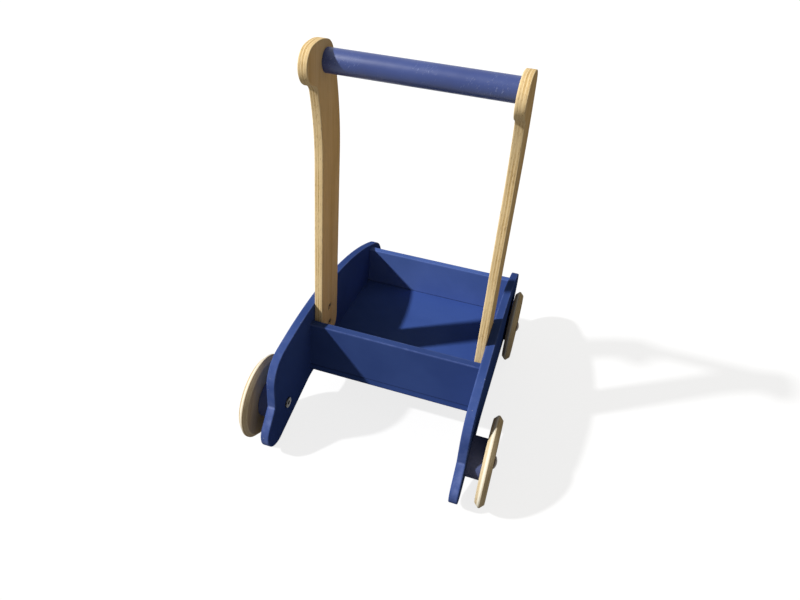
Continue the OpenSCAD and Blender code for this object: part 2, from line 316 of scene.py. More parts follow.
# Dark blue for the seams between boards: painted shade
SEAM_SHADE_BLUE = tone(24, 27, 46)
SEAM_SHADE_STRENGTH = 0.8
GRAIN_ALONG = 14.0
GRAIN_ACROSS = 420.0
SCUFF_SCALE = (260.0, 950.0, 160.0)
SCUFF_TURN = (math.radians(-37), 0.0, math.radians(-60))


def blue_paint(name, along, blues, specular=0.0, scuffed=0.0):
    """Paint over wood; along is the axis that the grain follows, scuffed how strongly scuffs show.

    Where the attribute worn_and_painted_light is above nought the paint is paler, thin from use and a
    painted sheen, and below nought the seams get painted shade.
    """
    material, tree, shader, place = new_object_finish(name)
    marked = add(tree, "ShaderNodeAttribute", attribute_name="worn_and_painted_light").outputs["Fac"]
    worn_and_painted_light = reckon(tree, "MAXIMUM", marked, 0.0)
    seam_shade = reckon(tree, "MAXIMUM", reckon(tree, "MULTIPLY", marked, -SEAM_SHADE_STRENGTH), 0.0)

    cloud = speckle(tree, place, scale=13.0, detail=3.0)
    colour = blended(tree, spread(tree, cloud, 0.32, 0.68), *blues)
    # Paler paint on marked edges: thin from use, and a painted sheen
    rub = speckle(tree, place, scale=70.0, detail=4.0, rough=0.6)
    rubbed_and_sheen = spread(tree, rub, 0.36, 0.70, to_low=0.10, to_high=0.32)
    colour = blended(tree, reckon(tree, "MULTIPLY", rubbed_and_sheen, worn_and_painted_light), colour, WORN_AND_SHEEN_BLUE)
    nick = speckle(tree, place, scale=250.0, detail=4.0, rough=0.6)
    chip = reckon(tree, "MULTIPLY", spread(tree, nick, 0.685, 0.72, to_high=0.75), worn_and_painted_light)
    # Chips show primer, and below nought the seams get painted shade
    colour = blended(tree, seam_shade, blended(tree, chip, colour, PRIMER), SEAM_SHADE_BLUE)

    grain_scale = [GRAIN_ALONG if axis == along else GRAIN_ACROSS for axis in "XYZ"]
    grain = speckle(tree, stretched(tree, place, grain_scale), detail=3.0, rough=0.6)
    peel = speckle(tree, place, scale=620.0)
    surface = bumped(tree, peel, depth=0.02, under=bumped(tree, grain, depth=0.03))

    if scuffed:
        patch = spread(tree, speckle(tree, place, scale=26.0), 0.44, 0.62)
        streak = speckle(tree, stretched(tree, place, SCUFF_SCALE, SCUFF_TURN), rough=0.6)
        scuff = reckon(tree, "MULTIPLY", patch, spread(tree, streak, 0.63, 0.69))
        colour = blended(tree, reckon(tree, "MULTIPLY", scuff, scuffed), colour, WORN_AND_SHEEN_BLUE)
        surface = bumped(tree, scuff, depth=0.16, under=surface)

    smear = speckle(tree, place, scale=75.0, detail=4.0, rough=0.6)
    dull = spread(tree, smear, 0.3, 0.7, to_low=0.35, to_high=0.45)
    dull = reckon(tree, "ADD", dull, reckon(tree, "MULTIPLY", chip, 0.2))
    dress(tree, shader, colour, dull, surface)
    shader.inputs["Specular IOR Level"].default_value = specular
    return material


POST_TONES = {
    "veneer": (tone(224, 186, 127), tone(236, 200, 144), tone(243, 210, 156)),
    "fibre": tone(205, 164, 106),
    "pale_ply": tone(248, 221, 170),
    "dull_ply": tone(222, 186, 124),
    "glue": tone(138, 96, 46),
}
WHEEL_TONES = {
    "veneer": (tone(197, 167, 121), tone(211, 183, 138), tone(221, 196, 153)),
    "fibre": tone(174, 141, 96),
    "pale_ply": tone(219, 200, 163),
    "dull_ply": tone(197, 172, 132),
    "glue": tone(160, 131, 93),
    # The pale band that marks the bevel toward the key light: painted light
    "lit_core": tone(248, 242, 224),
}
VENEER_STOPS = (0.30, 0.48, 0.70)
PLY_WANDER = 0.25

# How fine each noise of the plywood is along X, Y and Z
FIGURE_SCALE = (30.0, 44.0, 3.2)
FIBRE_SCALE = (700.0, 760.0, 16.0)
FLECK_SCALE = (500.0, 560.0, 70.0)
WANDER_SCALE = (4.0, 26.0, 26.0)
PORE_SCALE = (900.0, 420.0, 420.0)
DASH_SCALE = (1100.0, 420.0, 120.0)


def birch_plywood(name, start_x, thickness, plies, grain_turn, tones, lit_core_at=None):
    """Plywood whose plies lie across X: veneer on the faces, ply lines on the cut edges.

    lit_core_at is the share of the thickness where the edge is palest, on the bevel toward the key light:
    painted light, if it has such a band.
    """
    material, tree, shader = new_finish(name)
    coords = add(tree, "ShaderNodeTexCoord")
    place = coords.outputs["Object"]
    turn = (math.radians(grain_turn), 0.0, 0.0)
    facing = add(tree, "ShaderNodeSeparateXYZ", {0: coords.outputs["Normal"]})
    face_on = spread(tree, reckon(tree, "ABSOLUTE", facing.outputs[0]), 0.90, 0.985)

    # Veneer: a broad figure, fine fibres and short flecks
    figure = speckle(tree, stretched(tree, place, FIGURE_SCALE, turn), detail=4.0, rough=0.55, swirl=0.9)
    fibre = speckle(tree, stretched(tree, place, FIBRE_SCALE, turn), detail=3.0, rough=0.6)
    fleck = speckle(tree, stretched(tree, place, FLECK_SCALE, turn))
    ramp = add(tree, "ShaderNodeValToRGB", {0: figure})
    stops = ramp.color_ramp.elements
    stops.new(VENEER_STOPS[1])
    for stop, position, colour in zip(stops, VENEER_STOPS, tones["veneer"]):
        stop.position, stop.color = position, colour
    veneer = blended(tree, spread(tree, fibre, 0.50, 0.72, to_high=0.26), ramp.outputs[0], tones["fibre"])
    veneer = blended(tree, spread(tree, fleck, 0.66, 0.74, to_high=0.4), veneer, tones["fibre"])

    # Cut edge: how many plies deep a place is, on lines that wander a little
    across = reckon(tree, "ABSOLUTE", add(tree, "ShaderNodeSeparateXYZ", {0: place}).outputs[0])
    inside = reckon(tree, "SUBTRACT", across, start_x * MM)
    depth = reckon(tree, "MULTIPLY", inside, plies / (thickness * MM))
    wander = speckle(tree, stretched(tree, place, WANDER_SCALE))
    wander = spread(tree, wander, 0.2, 0.8, to_low=-PLY_WANDER, to_high=PLY_WANDER)
    ply = reckon(tree, "ADD", depth, wander)
    layer = reckon(tree, "FLOOR", ply)
    chance = add(tree, "ShaderNodeTexWhiteNoise", {"W": layer}, noise_dimensions="1D").outputs["Value"]
    odd = reckon(tree, "MODULO", layer, 2.0)

    # Every other ply is duller, glue lines part them, and both fade in places
    pores = speckle(tree, stretched(tree, place, PORE_SCALE), detail=3.0, rough=0.65)
    fibrous = spread(tree, fibre, 0.45, 0.75, to_high=0.30)
    pale_ply = blended(tree, fibrous, tones["pale_ply"], tones["dull_ply"])
    porous = spread(tree, pores, 0.42, 0.68, to_high=0.45)
    dull_ply = blended(tree, porous, tones["dull_ply"], tones["glue"])
    fade = spread(tree, speckle(tree, place, scale=17.0, detail=3.0), 0.36, 0.62, to_low=0.30)
    dulled = reckon(tree, "MULTIPLY", odd, spread(tree, chance, 0.0, 1.0, to_low=0.35, to_high=0.95))
    edge = blended(tree, reckon(tree, "MULTIPLY", dulled, fade), pale_ply, dull_ply)
    joint = reckon(tree, "ABSOLUTE", reckon(tree, "SUBTRACT", reckon(tree, "FRACT", ply), 0.5))
    strength = spread(tree, chance, 0.0, 1.0, to_low=0.25, to_high=0.85)
    line = reckon(tree, "MULTIPLY", spread(tree, joint, 0.43, 0.495), strength)
    edge = blended(tree, reckon(tree, "MULTIPLY", line, fade), edge, tones["glue"])
    dash = speckle(tree, stretched(tree, place, DASH_SCALE, turn), rough=0.6)
    edge = blended(tree, spread(tree, dash, 0.56, 0.70, to_high=0.46), edge, tones["glue"])
    # A pale band on the edge's bevel toward the key light: painted light
    if lit_core_at is not None:
        share = reckon(tree, "DIVIDE", depth, plies)
        off_lit_core = reckon(tree, "ABSOLUTE", reckon(tree, "SUBTRACT", share, lit_core_at))
        lit_core = spread(tree, off_lit_core, 0.04, 0.22, to_low=0.85, to_high=0.0)
        edge = blended(tree, lit_core, edge, tones["lit_core"])

    rub = spread(tree, speckle(tree, place, scale=60.0, detail=3.0), 0.3, 0.7, to_low=0.38, to_high=0.50)
    dull = reckon(tree, "ADD", rub, reckon(tree, "MULTIPLY", odd, 0.06))
    grain = bumped(tree, fibre, depth=0.035)
    surface = bumped(tree, reckon(tree, "MULTIPLY", pores, odd), depth=0.03, under=grain)
    dress(tree, shader, blended(tree, face_on, edge, veneer), dull, surface)
    shader.inputs["Specular IOR Level"].default_value = 0.0
    return material


def bright_metal(name, light, dark, smooth, dull):
    """Plated steel: a fine uneven tint, brighter and duller patches, and a faint tooth."""
    material, tree, shader, place = new_object_finish(name)
    tint = speckle(tree, place, scale=330.0, detail=4.0, rough=0.6)
    colour = blended(tree, spread(tree, tint, 0.3, 0.7), dark, light)
    patch = spread(tree, speckle(tree, place, scale=900.0, detail=3.0), 0.3, 0.7, smooth, dull)
    tooth = bumped(tree, speckle(tree, place, scale=2400.0), depth=0.006)
    dress(tree, shader, colour, patch, tooth)
    shader.inputs["Metallic"].default_value = 1.0
    return material


BEECH_TONES = (tone(186, 143, 92), tone(214, 176, 124))
BEECH_RAY = tone(140, 98, 58)
BEECH_GRAIN_SCALE = (22.0, 640.0, 640.0)
BEECH_RAY_SCALE = (160.0, 900.0, 900.0)
NYLON_TONES = (tone(222, 219, 208), tone(238, 236, 229))


def beech():
    """Dowels: straight grain along X with short dark rays."""
    material, tree, shader, place = new_object_finish("beech dowel")
    grain = speckle(tree, stretched(tree, place, BEECH_GRAIN_SCALE), detail=3.0, rough=0.6)
    ray = speckle(tree, stretched(tree, place, BEECH_RAY_SCALE))
    colour = blended(tree, spread(tree, grain, 0.3, 0.7), *BEECH_TONES)
    colour = blended(tree, spread(tree, ray, 0.63, 0.72, to_high=0.6), colour, BEECH_RAY)
    dull = spread(tree, grain, 0.3, 0.7, to_low=0.5, to_high=0.65)
    dress(tree, shader, colour, dull, bumped(tree, grain, depth=0.03))
    return material


def nylon():
    """Wheel bushes: slightly mottled off-white with a soft moulded surface."""
    material, tree, shader, place = new_object_finish("nylon bush")
    mottle = speckle(tree, place, scale=240.0, detail=3.0)
    colour = blended(tree, mottle, *NYLON_TONES)
    dull = spread(tree, mottle, 0.3, 0.7, to_low=0.42, to_high=0.56)
    dress(tree, shader, colour, dull, bumped(tree, speckle(tree, place, scale=1500.0), depth=0.01))
    return material


side_paint = blue_paint("blue paint on side panels", "Y", SIDE_SHADED_BLUES)
floor_paint = blue_paint("blue paint on floor board", "X", FLOOR_LIT_BLUES)
front_paint = blue_paint("blue paint on front panel", "X", FRONT_LIT_BLUES)
rear_paint = blue_paint("blue paint on rear panel", "X", REAR_SHADED_BLUES)
bar_paint = blue_paint("blue paint on push bar", "X", BAR_BLUES, specular=0.65, scuffed=0.9)
spacer_paint = blue_paint("blue paint on spacers", "X", SPACER_LIT_BLUES)
post_plywood = birch_plywood("birch plywood of posts", post_x, POST_T, POST_PLIES,
                             grain_turn=0.0, tones=POST_TONES)
zinc = bright_metal("zinc plate", tone(205, 208, 211), tone(168, 171, 176), smooth=0.26, dull=0.44)
# The darker plate of the rear axle nuts and the dark steel of the axle bolts stand in for their shaded,
# dark reflections: painted shade
shade_dark_zinc = bright_metal("zinc plate darkened as painted shade", tone(84, 82, 78), tone(20, 20, 23), smooth=0.20, dull=0.40)
shade_dark_steel = bright_metal("steel darkened as painted shade", tone(112, 98, 86), tone(70, 62, 56), smooth=0.26, dull=0.42)
bronze = bright_metal("bronzed steel", tone(176, 146, 104), tone(136, 108, 74), smooth=0.30, dull=0.46)
dowel_wood = beech()
bush_nylon = nylon()


# Outlines, in the plane of Y and Z, with angles in degrees

def polar(radius, angle):
    """The step of this length in this direction."""
    return Vector((math.cos(math.radians(angle)), math.sin(math.radians(angle)))) * radius


def heading(start, end):
    """The direction from one point to another."""
    return math.degrees(math.atan2(end.y - start.y, end.x - start.x))


def short_turn(start, end):
    """The turn from one direction to another, the short way round."""
    return (end - start + 540) % 360 - 180


def arc(centre, radius, start, end):
    """Points along an arc, close enough to look round."""
    turn = abs(end - start)
    length = math.radians(turn) * radius
    steps = max(EASE_STEPS, math.ceil(turn / ARC_STEP), math.ceil(length / ARC_PITCH))
    return [centre + polar(radius, start + (end - start) * i / steps) for i in range(steps + 1)]


def corner_arc(centre, radius, start):
    """A quarter round of an edge, in a few steps."""
    return [centre + polar(radius, start + 90 * i / EASE_STEPS) for i in range(EASE_STEPS + 1)]


def meet(first, first_angle, second, second_angle):
    """Where two lines cross, each given by a point and a direction."""
    gap = second - first
    way = polar(1, second_angle)
    reach = (gap.x * way.y - gap.y * way.x) / math.sin(math.radians(second_angle - first_angle))
    return first + polar(reach, first_angle)


def rounded(before, corner, after, radius):
    """The arc that rounds a corner between two straight lines."""
    back = polar(1, heading(corner, before))
    ahead = polar(1, heading(corner, after))
    half = math.acos(back.dot(ahead)) / 2
    centre = corner + (back + ahead).normalized() * radius / math.sin(half)
    start = heading(centre, corner + back * radius / math.tan(half))
    end = heading(centre, corner + ahead * radius / math.tan(half))
    return arc(centre, radius, start, start + short_turn(start, end))


def two_reach(first, first_r, second, second_r):
    """Centre at these distances from two points, on the left of the way between them."""
    gap = (second - first).length
    ahead = (first_r ** 2 - second_r ** 2 + gap ** 2) / (2 * gap)
    way = heading(first, second)
    return first + polar(ahead, way) + polar(math.sqrt(first_r ** 2 - ahead ** 2), way + 90)


def without_doubles(points):
    """The outline without points that repeat the one before."""
    kept = []
    for point in points:
        if not kept or (point - kept[-1]).length > POINT_GAP:
            kept.append(point)
    if (kept[0] - kept[-1]).length <= POINT_GAP:
        kept.pop()
    return kept


def side_outline():
    """Side panel: nose, crown, rear shoulder, notch, tail and the belly's rising line."""
    crown = Vector((rear_axle_y + CROWN_AHEAD, CROWN_Z - CROWN_R))

    def under_crown(y, radius):
        return Vector((y, crown.y + math.sqrt((CROWN_R - radius) ** 2 - (y - crown.x) ** 2)))

    nose = under_crown(front_axle_y + NOSE_AHEAD, NOSE_R)
    shoulder = under_crown(rear_axle_y + SHOULDER_AHEAD, SHOULDER_R)
    tail = Vector((rear_axle_y - TAIL_BEHIND, TAIL_Z))
    back = shoulder - Vector((SHOULDER_R, 0))
    notch = Vector((back.x, NOTCH_Z))
    tail_start = heading(tail, notch) + math.degrees(math.acos(TAIL_R / (notch - tail).length))
    tail_top = tail + polar(TAIL_R, tail_start)
    leg_foot = tail + polar(TAIL_R, LEG_SLOPE - 90)
    belly_end = nose + polar(NOSE_R, -90 - BELLY_SLOPE)
    belly = meet(leg_foot, LEG_SLOPE, belly_end, -BELLY_SLOPE)
    return without_doubles(
        arc(nose, NOSE_R, -90 - BELLY_SLOPE, heading(crown, nose))
        + arc(crown, CROWN_R, heading(crown, nose), heading(crown, shoulder))
        + arc(shoulder, SHOULDER_R, heading(crown, shoulder), 180)
        + [notch + polar(NOTCH_R, heading(notch, back))]
        + rounded(back, notch, tail_top, NOTCH_R)
        + [notch + polar(NOTCH_R, heading(notch, tail_top))]
        + arc(tail, TAIL_R, tail_start, 270 + LEG_SLOPE)
        + rounded(leg_foot, belly, belly_end, BELLY_R))


def post_outline():
    """Handle post: round foot, bent shank, and a head with a crest and a throat behind."""
    foot = Vector((post_mid_y, SCREW_LOW_Z))
    bar = Vector((bar_y, BAR_Z))
    back = bar - Vector((HEAD_BACK, 0))
    bend_y = post_front_y - BEND_R
    bend = Vector((bend_y, BAR_Z - math.sqrt((BEND_R - HEAD_R) ** 2 - (bar_y - bend_y) ** 2)))
    rear_r = BEND_R - POST_W
    crest = two_reach(bar, CREST_R - HEAD_R, back, CREST_R - HEAD_R)
    throat = two_reach(back, HEAD_R + THROAT_R, bend, rear_r - THROAT_R)
    return without_doubles(
        arc(foot, POST_W / 2, 180, 360)
        + arc(bend, BEND_R, 0, heading(bend, bar))
        + arc(bar, HEAD_R, heading(bend, bar), heading(crest, bar))
        + arc(crest, CREST_R, heading(crest, bar), heading(crest, back))
        + arc(back, HEAD_R, heading(crest, back), 360 + heading(back, throat))
        + arc(throat, THROAT_R, heading(throat, back), heading(bend, throat))
        + arc(bend, rear_r, heading(bend, throat), 0))


def plank_outline(y, z, width, height, lower_ease, upper_ease, rear_edge_shade):
    """Cross-section of a straight board with eased edges, and each point's mark: paler paint and painted
    sheen above nought, painted shade in the seams below nought.
    """
    points = []
    corners = (
        (y + lower_ease, z + lower_ease, lower_ease, 180),
        (y + width - lower_ease, z + lower_ease, lower_ease, 270),
        (y + width - upper_ease, z + height - upper_ease, upper_ease, 0),
        (y + upper_ease, z + height - upper_ease, upper_ease, 90),
    )
    for corner_y, corner_z, ease, start in corners:
        bend = corner_arc(Vector((corner_y, corner_z)), ease, start)
        before = bend[0] + polar(WEAR_BAND, start - 90)
        after = bend[-1] + polar(WEAR_BAND, start + 180)
        # Seam edges get painted shade; other edges paler paint and painted sheen
        wear_and_painted_light = SEAM_SHADE if ease == SEAM_EASE else EDGE_WEAR_AND_SHEEN
        before_shade = rear_edge_shade if start == 180 else 0.0
        after_shade = rear_edge_shade if start == 90 else 0.0
        points += [(before, before_shade)] + [(point, wear_and_painted_light) for point in bend] + [(after, after_shade)]
    return points


# Meshes and pieces

def placed(name, data):
    """A new object in the scene."""
    made = bpy.data.objects.new(name, data)
    bpy.context.scene.collection.objects.link(made)
    return made


def skin(shape, loops):
    """Joins each loop of points to the next with faces, and closes both ends."""
    for near, far in zip(loops, loops[1:]):
        for i in range(len(near)):
            j = (i + 1) % len(near)
            shape.faces.new((near[i], near[j], far[j], far[i]))
    shape.faces.new(loops[0])
    shape.faces.new(loops[-1])


def closed_mesh(name, shape):
    """Turns a finished bmesh into a mesh with its faces outwards."""
    bmesh.ops.remove_doubles(shape, verts=shape.verts, dist=WELD * MM)
    bmesh.ops.recalc_face_normals(shape, faces=shape.faces)
    for face in shape.faces:
        face.smooth = True
    mesh = bpy.data.meshes.new(name)
    shape.to_mesh(mesh)
    shape.free()
    return mesh


def applied(piece, name):
    """What a piece's modifiers make of it, as a closed mesh."""
    bpy.context.view_layer.update()
    ready = piece.evaluated_get(bpy.context.evaluated_depsgraph_get())
    made = bpy.data.meshes.new_from_object(ready)
    shape = bmesh.new()
    shape.from_mesh(made)
    bpy.data.meshes.remove(made)
    return closed_mesh(name, shape)


def cover(mesh, finish):
    """Gives a mesh one finish and marks its sharp edges."""
    mesh.set_sharp_from_angle(angle=math.radians(SHARP_ANGLE))
    mesh.materials.clear()
    mesh.materials.append(finish)


def new_piece(name, mesh, finish):
    """A piece in the scene with one finish."""
    cover(mesh, finish)
    return placed(name, mesh)


def fit(piece, body, slot, *nodes):
    """Ties a piece to its body and hides the nodes that it replaces; slot is not used."""
    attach(piece, body)
    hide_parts(*nodes)


# Boards

def inset_outline(points, inset):
    """The outline moved inwards; the points run anticlockwise."""
    moved = []
    for i, point in enumerate(points):
        before = (point - points[i - 1]).normalized()
        after = (points[(i + 1) % len(points)] - point).normalized()
        first = Vector((-before.y, before.x))
        second = Vector((-after.y, after.x))
        moved.append(point + (first + second) * inset / (1 + first.dot(second)))
    return moved


def eased_rings(start_x, end_x, ease, band):
    """Inset, X and mark of each ring of points, from one face of a board to the other; eased edges are
    paler from use and a painted sheen.
    """
    ring = [(ease + band, 0.0, 0.0)]
    for i in range(EASE_STEPS + 1):
        angle = math.radians(90 * i / EASE_STEPS)
        ring.append((ease * (1 - math.sin(angle)), ease * (1 - math.cos(angle)), EDGE_WEAR_AND_SHEEN))
    ring.append((0.0, ease + band, 0.0))
    return [(inset, start_x + x, wear_and_painted_light) for inset, x, wear_and_painted_light in ring] + [
        (inset, end_x - x, wear_and_painted_light) for inset, x, wear_and_painted_light in reversed(ring)]


def board(name, outline, wear_and_painted_light, start_x, end_x, ease, band, finish):
    """A board across X with this outline, its edges eased all round."""
    shape = bmesh.new()
    worn_and_painted_light = shape.verts.layers.float.new("worn_and_painted_light")
    loops = []
    for inset, x, ring_wear_and_sheen in eased_rings(start_x, end_x, ease, band):
        loop = []
        for point, point_wear_and_painted_light in zip(inset_outline(outline, inset), wear_and_painted_light):
            vert = shape.verts.new((x * MM, point.x * MM, point.y * MM))
            vert[worn_and_painted_light] = ring_wear_and_sheen if inset or ring_wear_and_sheen else point_wear_and_painted_light
            loop.append(vert)
        loops.append(loop)
    skin(shape, loops)
    return new_piece(name, closed_mesh(name, shape), finish)


def ringed(name, profile_at):
    """A round solid about X. profile_at gives X and radius of each of its rings at an angle."""
    angles = [360 * step / STEPS_ROUND_BORE for step in range(STEPS_ROUND_BORE)]
    profiles = [profile_at(angle) for angle in angles]
    shape = bmesh.new()
    loops = []
    for ring in range(len(profiles[0])):
        loop = []
        for angle, profile in zip(angles, profiles):
            x, radius = profile[ring]
            point = polar(radius, angle)
            loop.append(shape.verts.new((x * MM, point.x * MM, point.y * MM)))
        loops.append(loop)
    skin(shape, loops)
    return placed(name, closed_mesh(name, shape))


def drill(piece, side, bores):
    """Cuts round holes along X, each a place in Y and Z with X and radius from its mouth on."""
    finish = piece.data.materials[0]
    for (y, z), profile in bores:
        cutter = ringed("drill bit", lambda angle: [(side * x, radius) for x, radius in profile])
        for vert in cutter.data.vertices:
            vert.co += Vector((0.0, y * MM, z * MM))
        cut = piece.modifiers.new("bore", "BOOLEAN")
        cut.operation = "DIFFERENCE"
        cut.solver = "EXACT"
        cut.object = cutter
        drilled = applied(piece, piece.name)
        piece.modifiers.remove(cut)
        bpy.data.objects.remove(cutter)
        piece.data = drilled
        cover(drilled, finish)


screw_places = [(post_mid_y, SCREW_LOW_Z + rise) for rise in (0.0, SCREW_PITCH)]
dowel_places = {
    "rear_panel": [
        (rear_y + END_T / 2, z) for z in (floor_top_z + DOWEL_EDGE, REAR_TOP_Z - DOWEL_EDGE)],
    "front_panel": [
        (front_y + END_T / 2, z) for z in (floor_top_z + DOWEL_EDGE, FRONT_TOP_Z - DOWEL_EDGE)],
    "floor_board": [
        (y, FLOOR_Z + FLOOR_T / 2)
        for y in (rear_y + FLOOR_DOWEL_EDGE, front_y + END_T - FLOOR_DOWEL_EDGE)],
}


def post_bores():
    """A seat for each screw's head with its shank hole, and the socket for the push bar's tenon."""
    head, shank = SCREW_HEAD_D / 2 + HEAD_ROOM, SCREW_D / 2 + HOLE_PLAY
    mouth, seat = post_x - OVERCUT, post_x + SCREW_SINK + SCREW_HEAD_H
    screw = [(mouth, head), (seat, head), (seat, shank), (inner_x + OVERCUT, shank)]
    tenon = [(mouth, TENON_D / 2), (post_x + TENON_L + BLIND_ROOM, TENON_D / 2)]
    return [(place, screw) for place in screw_places] + [((bar_y, BAR_Z), tenon)]


def panel_bores():
    """Bores for the dowels, the posts' insert nuts and the axles, all but the rear axle's blind."""
    mouth, nut, axle = inner_x - OVERCUT, NUT_D / 2, AXLE_D / 2 + HOLE_PLAY
    dowel = [(mouth, DOWEL_D / 2), (inner_x + DOWEL_IN_SIDE + BLIND_ROOM, DOWEL_D / 2)]
    insert = [(mouth, INSERT_D / 2), (inner_x + INSERT_L + BLIND_ROOM, INSERT_D / 2)]
    rear = [(mouth, nut), (inner_x + NUT_L, nut), (inner_x + NUT_L, axle), (outer_x + OVERCUT, axle)]
    front = [(outer_x + OVERCUT, nut), (outer_x - NUT_L, nut)]
    bores = [(place, dowel) for places in dowel_places.values() for place in places]
    bores += [(place, insert) for place in screw_places]
    return bores + [((rear_axle_y, wheel_r), rear), ((front_axle_y, wheel_r), front)]


def board_bores(node):
    """Bores for the dowels in one end of a straight board."""
    bottom = inner_x - DOWEL_IN_BOARD - BLIND_ROOM
    dowel = [(inner_x + OVERCUT, DOWEL_D / 2), (bottom, DOWEL_D / 2)]
    return [(place, dowel) for place in dowel_places[node]]


def tail_wear_and_sheen(point):
    """The edge round the tail is paler, above all in the notch, and less up and forward: thin paint from
    use, a painted sheen, and a painted highlight in the notch.
    """
    near = max(0.0, min(1.0, (rear_axle_y + TAIL_SHEEN_AHEAD - point.x) / TAIL_SHEEN_AHEAD))
    if abs(point.y - NOTCH_Z) < NOTCH_R / 2:
        return NOTCH_WEAR_AND_HIGHLIGHT
    return near * (TAIL_WEAR_AND_SHEEN if point.y < NOTCH_Z else UPPER_WEAR_AND_SHEEN)


def make_boards():
    """Side panels, handle posts, end panels and floor board."""
    panel = side_outline()
    # Paler paint round the tail: thin paint from use and a painted sheen, with a painted highlight in the
    # notch
    panel_wear_and_sheen = [tail_wear_and_sheen(point) for point in panel]
    post = post_outline()
    post_wear = [0.0] * len(post)
    for hand, side in HAND.items():
        near, far = sorted((side * inner_x, side * outer_x))
        piece = board(f"painted_{hand}_side_panel", panel, panel_wear_and_sheen, near, far,
                      PANEL_EASE, WEAR_BAND, side_paint)
        drill(piece, side, panel_bores())
        fit(piece, "walker_frame", "blue_paint", f"{hand}_side_panel")
        near, far = sorted((side * post_x, side * inner_x))
        piece = board(f"birch_{hand}_handle_post", post, post_wear, near, far,
                      POST_EASE, WEAR_BAND, post_plywood)
        drill(piece, side, post_bores())
        fit(piece, "walker_frame", "plywood", f"{hand}_handle_post")

    floor_l = BOX_L + 2 * END_T
    planks = {
        "rear_panel": (rear_y, floor_top_z, END_T, REAR_TOP_Z - floor_top_z, TOP_EASE, 0.0, rear_paint),
        "front_panel": (front_y, floor_top_z, END_T, FRONT_TOP_Z - floor_top_z, TOP_EASE, 0.0, front_paint),
        # The floor board's rear face gets painted shade along its edges
        "floor_board": (rear_y, FLOOR_Z, floor_l, FLOOR_T, SEAM_EASE, FLOOR_EDGE_SHADE, floor_paint),
    }
    for node, (y, z, width, height, upper_ease, rear_edge_shade, paint) in planks.items():
        section = plank_outline(y, z, width, height, SEAM_EASE, upper_ease, rear_edge_shade)
        points = [point for point, _ in section]
        wear_and_painted_light = [amount for _, amount in section]
        piece = board(f"painted_{node}", points, wear_and_painted_light, -inner_x, inner_x, BUTT_EASE, BUTT_EASE, paint)
        for side in HAND.values():
            drill(piece, side, board_bores(node))
        fit(piece, "walker_frame", "blue_paint", node)


# Trees that shape pieces

def new_tree(name, source, inputs, result):
    """A tree with geometry in and out and more inputs, and what it is given."""
    tree = bpy.data.node_groups.new(name, "GeometryNodeTree")
    tree.interface.new_socket(source, in_out="INPUT", socket_type="NodeSocketGeometry")
    for label, kind in inputs.items():
        tree.interface.new_socket(label, in_out="INPUT", socket_type=kind)
    tree.interface.new_socket(result, in_out="OUTPUT", socket_type="NodeSocketGeometry")
    return tree, tree.nodes.new("NodeGroupInput").outputs


def end_tree(tree, geometry, finish):
    """Makes every copy real and sets the finish."""
    real = add(tree, "GeometryNodeRealizeInstances", {0: geometry})
    finished = add(tree, "GeometryNodeSetMaterial", {"Geometry": real.outputs[0], "Material": finish})
    add(tree, "NodeGroupOutput", {0: finished.outputs[0]})


def run_tree(tree, name, mesh, values, finish):
    """Runs a tree on a mesh and keeps the result as a plain piece."""
    start = placed(name + "_start", mesh)
    modifier = start.modifiers.new("shape", "NODES")
    modifier.node_group = tree
    for item in tree.interface.items_tree:
        if item.in_out == "INPUT" and item.name in values:
            modifier[item.identifier] = values[item.name]
    made = applied(start, name)
    bpy.data.objects.remove(start)
    return new_piece(name, made, finish)


# Turned pieces, made by a lathe tree

def lathe_tree():
    """Turns a profile about X.

    The profile lies flat: its X is the radius less the guide's, and its Y runs back.
    """
    inputs = {
        "Steps round": "NodeSocketInt",
        "Guide radius": "NodeSocketFloat",
        "Axle place": "NodeSocketVector",
        "Finish": "NodeSocketMaterial",
    }
    tree, given = new_tree("turned on a lathe", "Profile", inputs, "Turned piece")
    guide = add(tree, "GeometryNodeCurvePrimitiveCircle",
                {"Resolution": given["Steps round"], "Radius": given["Guide radius"]})
    profile = add(tree, "GeometryNodeMeshToCurve", {0: given["Profile"]})
    swept = add(tree, "GeometryNodeCurveToMesh",
                {"Curve": guide.outputs["Curve"], "Profile Curve": profile.outputs[0]})
    laid = add(tree, "GeometryNodeTransform", {
        "Geometry": swept.outputs[0],
        "Rotation": (0.0, math.radians(90), 0.0),
        "Translation": given["Axle place"],
    })
    closed = add(tree, "GeometryNodeMergeByDistance", {"Geometry": laid.outputs[0], "Distance": WELD * MM})
    end_tree(tree, closed.outputs[0], given["Finish"])
    return tree


lathe = lathe_tree()


def turned(name, profile, axle, steps, finish, ring=False):
    """A piece from a list of X, radius and mark: paler paint and a painted sheen. A ring has a bore;
    another ends on the axis.
    """
    guide = max(radius for _, radius, _ in profile) / 2
    mesh = bpy.data.meshes.new(name + "_profile")
    edges = [(i, i + 1) for i in range(len(profile) - 1)]
    if ring:
        edges.append((len(profile) - 1, 0))
    mesh.from_pydata([((radius - guide) * MM, -x * MM, 0.0) for x, radius, _ in profile], edges, [])
    worn_and_painted_light = mesh.attributes.new("worn_and_painted_light", "FLOAT", "POINT")
    worn_and_painted_light.data.foreach_set("value", [wear_and_painted_light for _, _, wear_and_painted_light in profile])
    values = {
        "Steps round": steps,
        "Guide radius": guide * MM,
        "Axle place": (0.0, axle[0] * MM, axle[1] * MM),
        "Finish": finish,
    }
    return run_tree(lathe, name, mesh, values, finish)


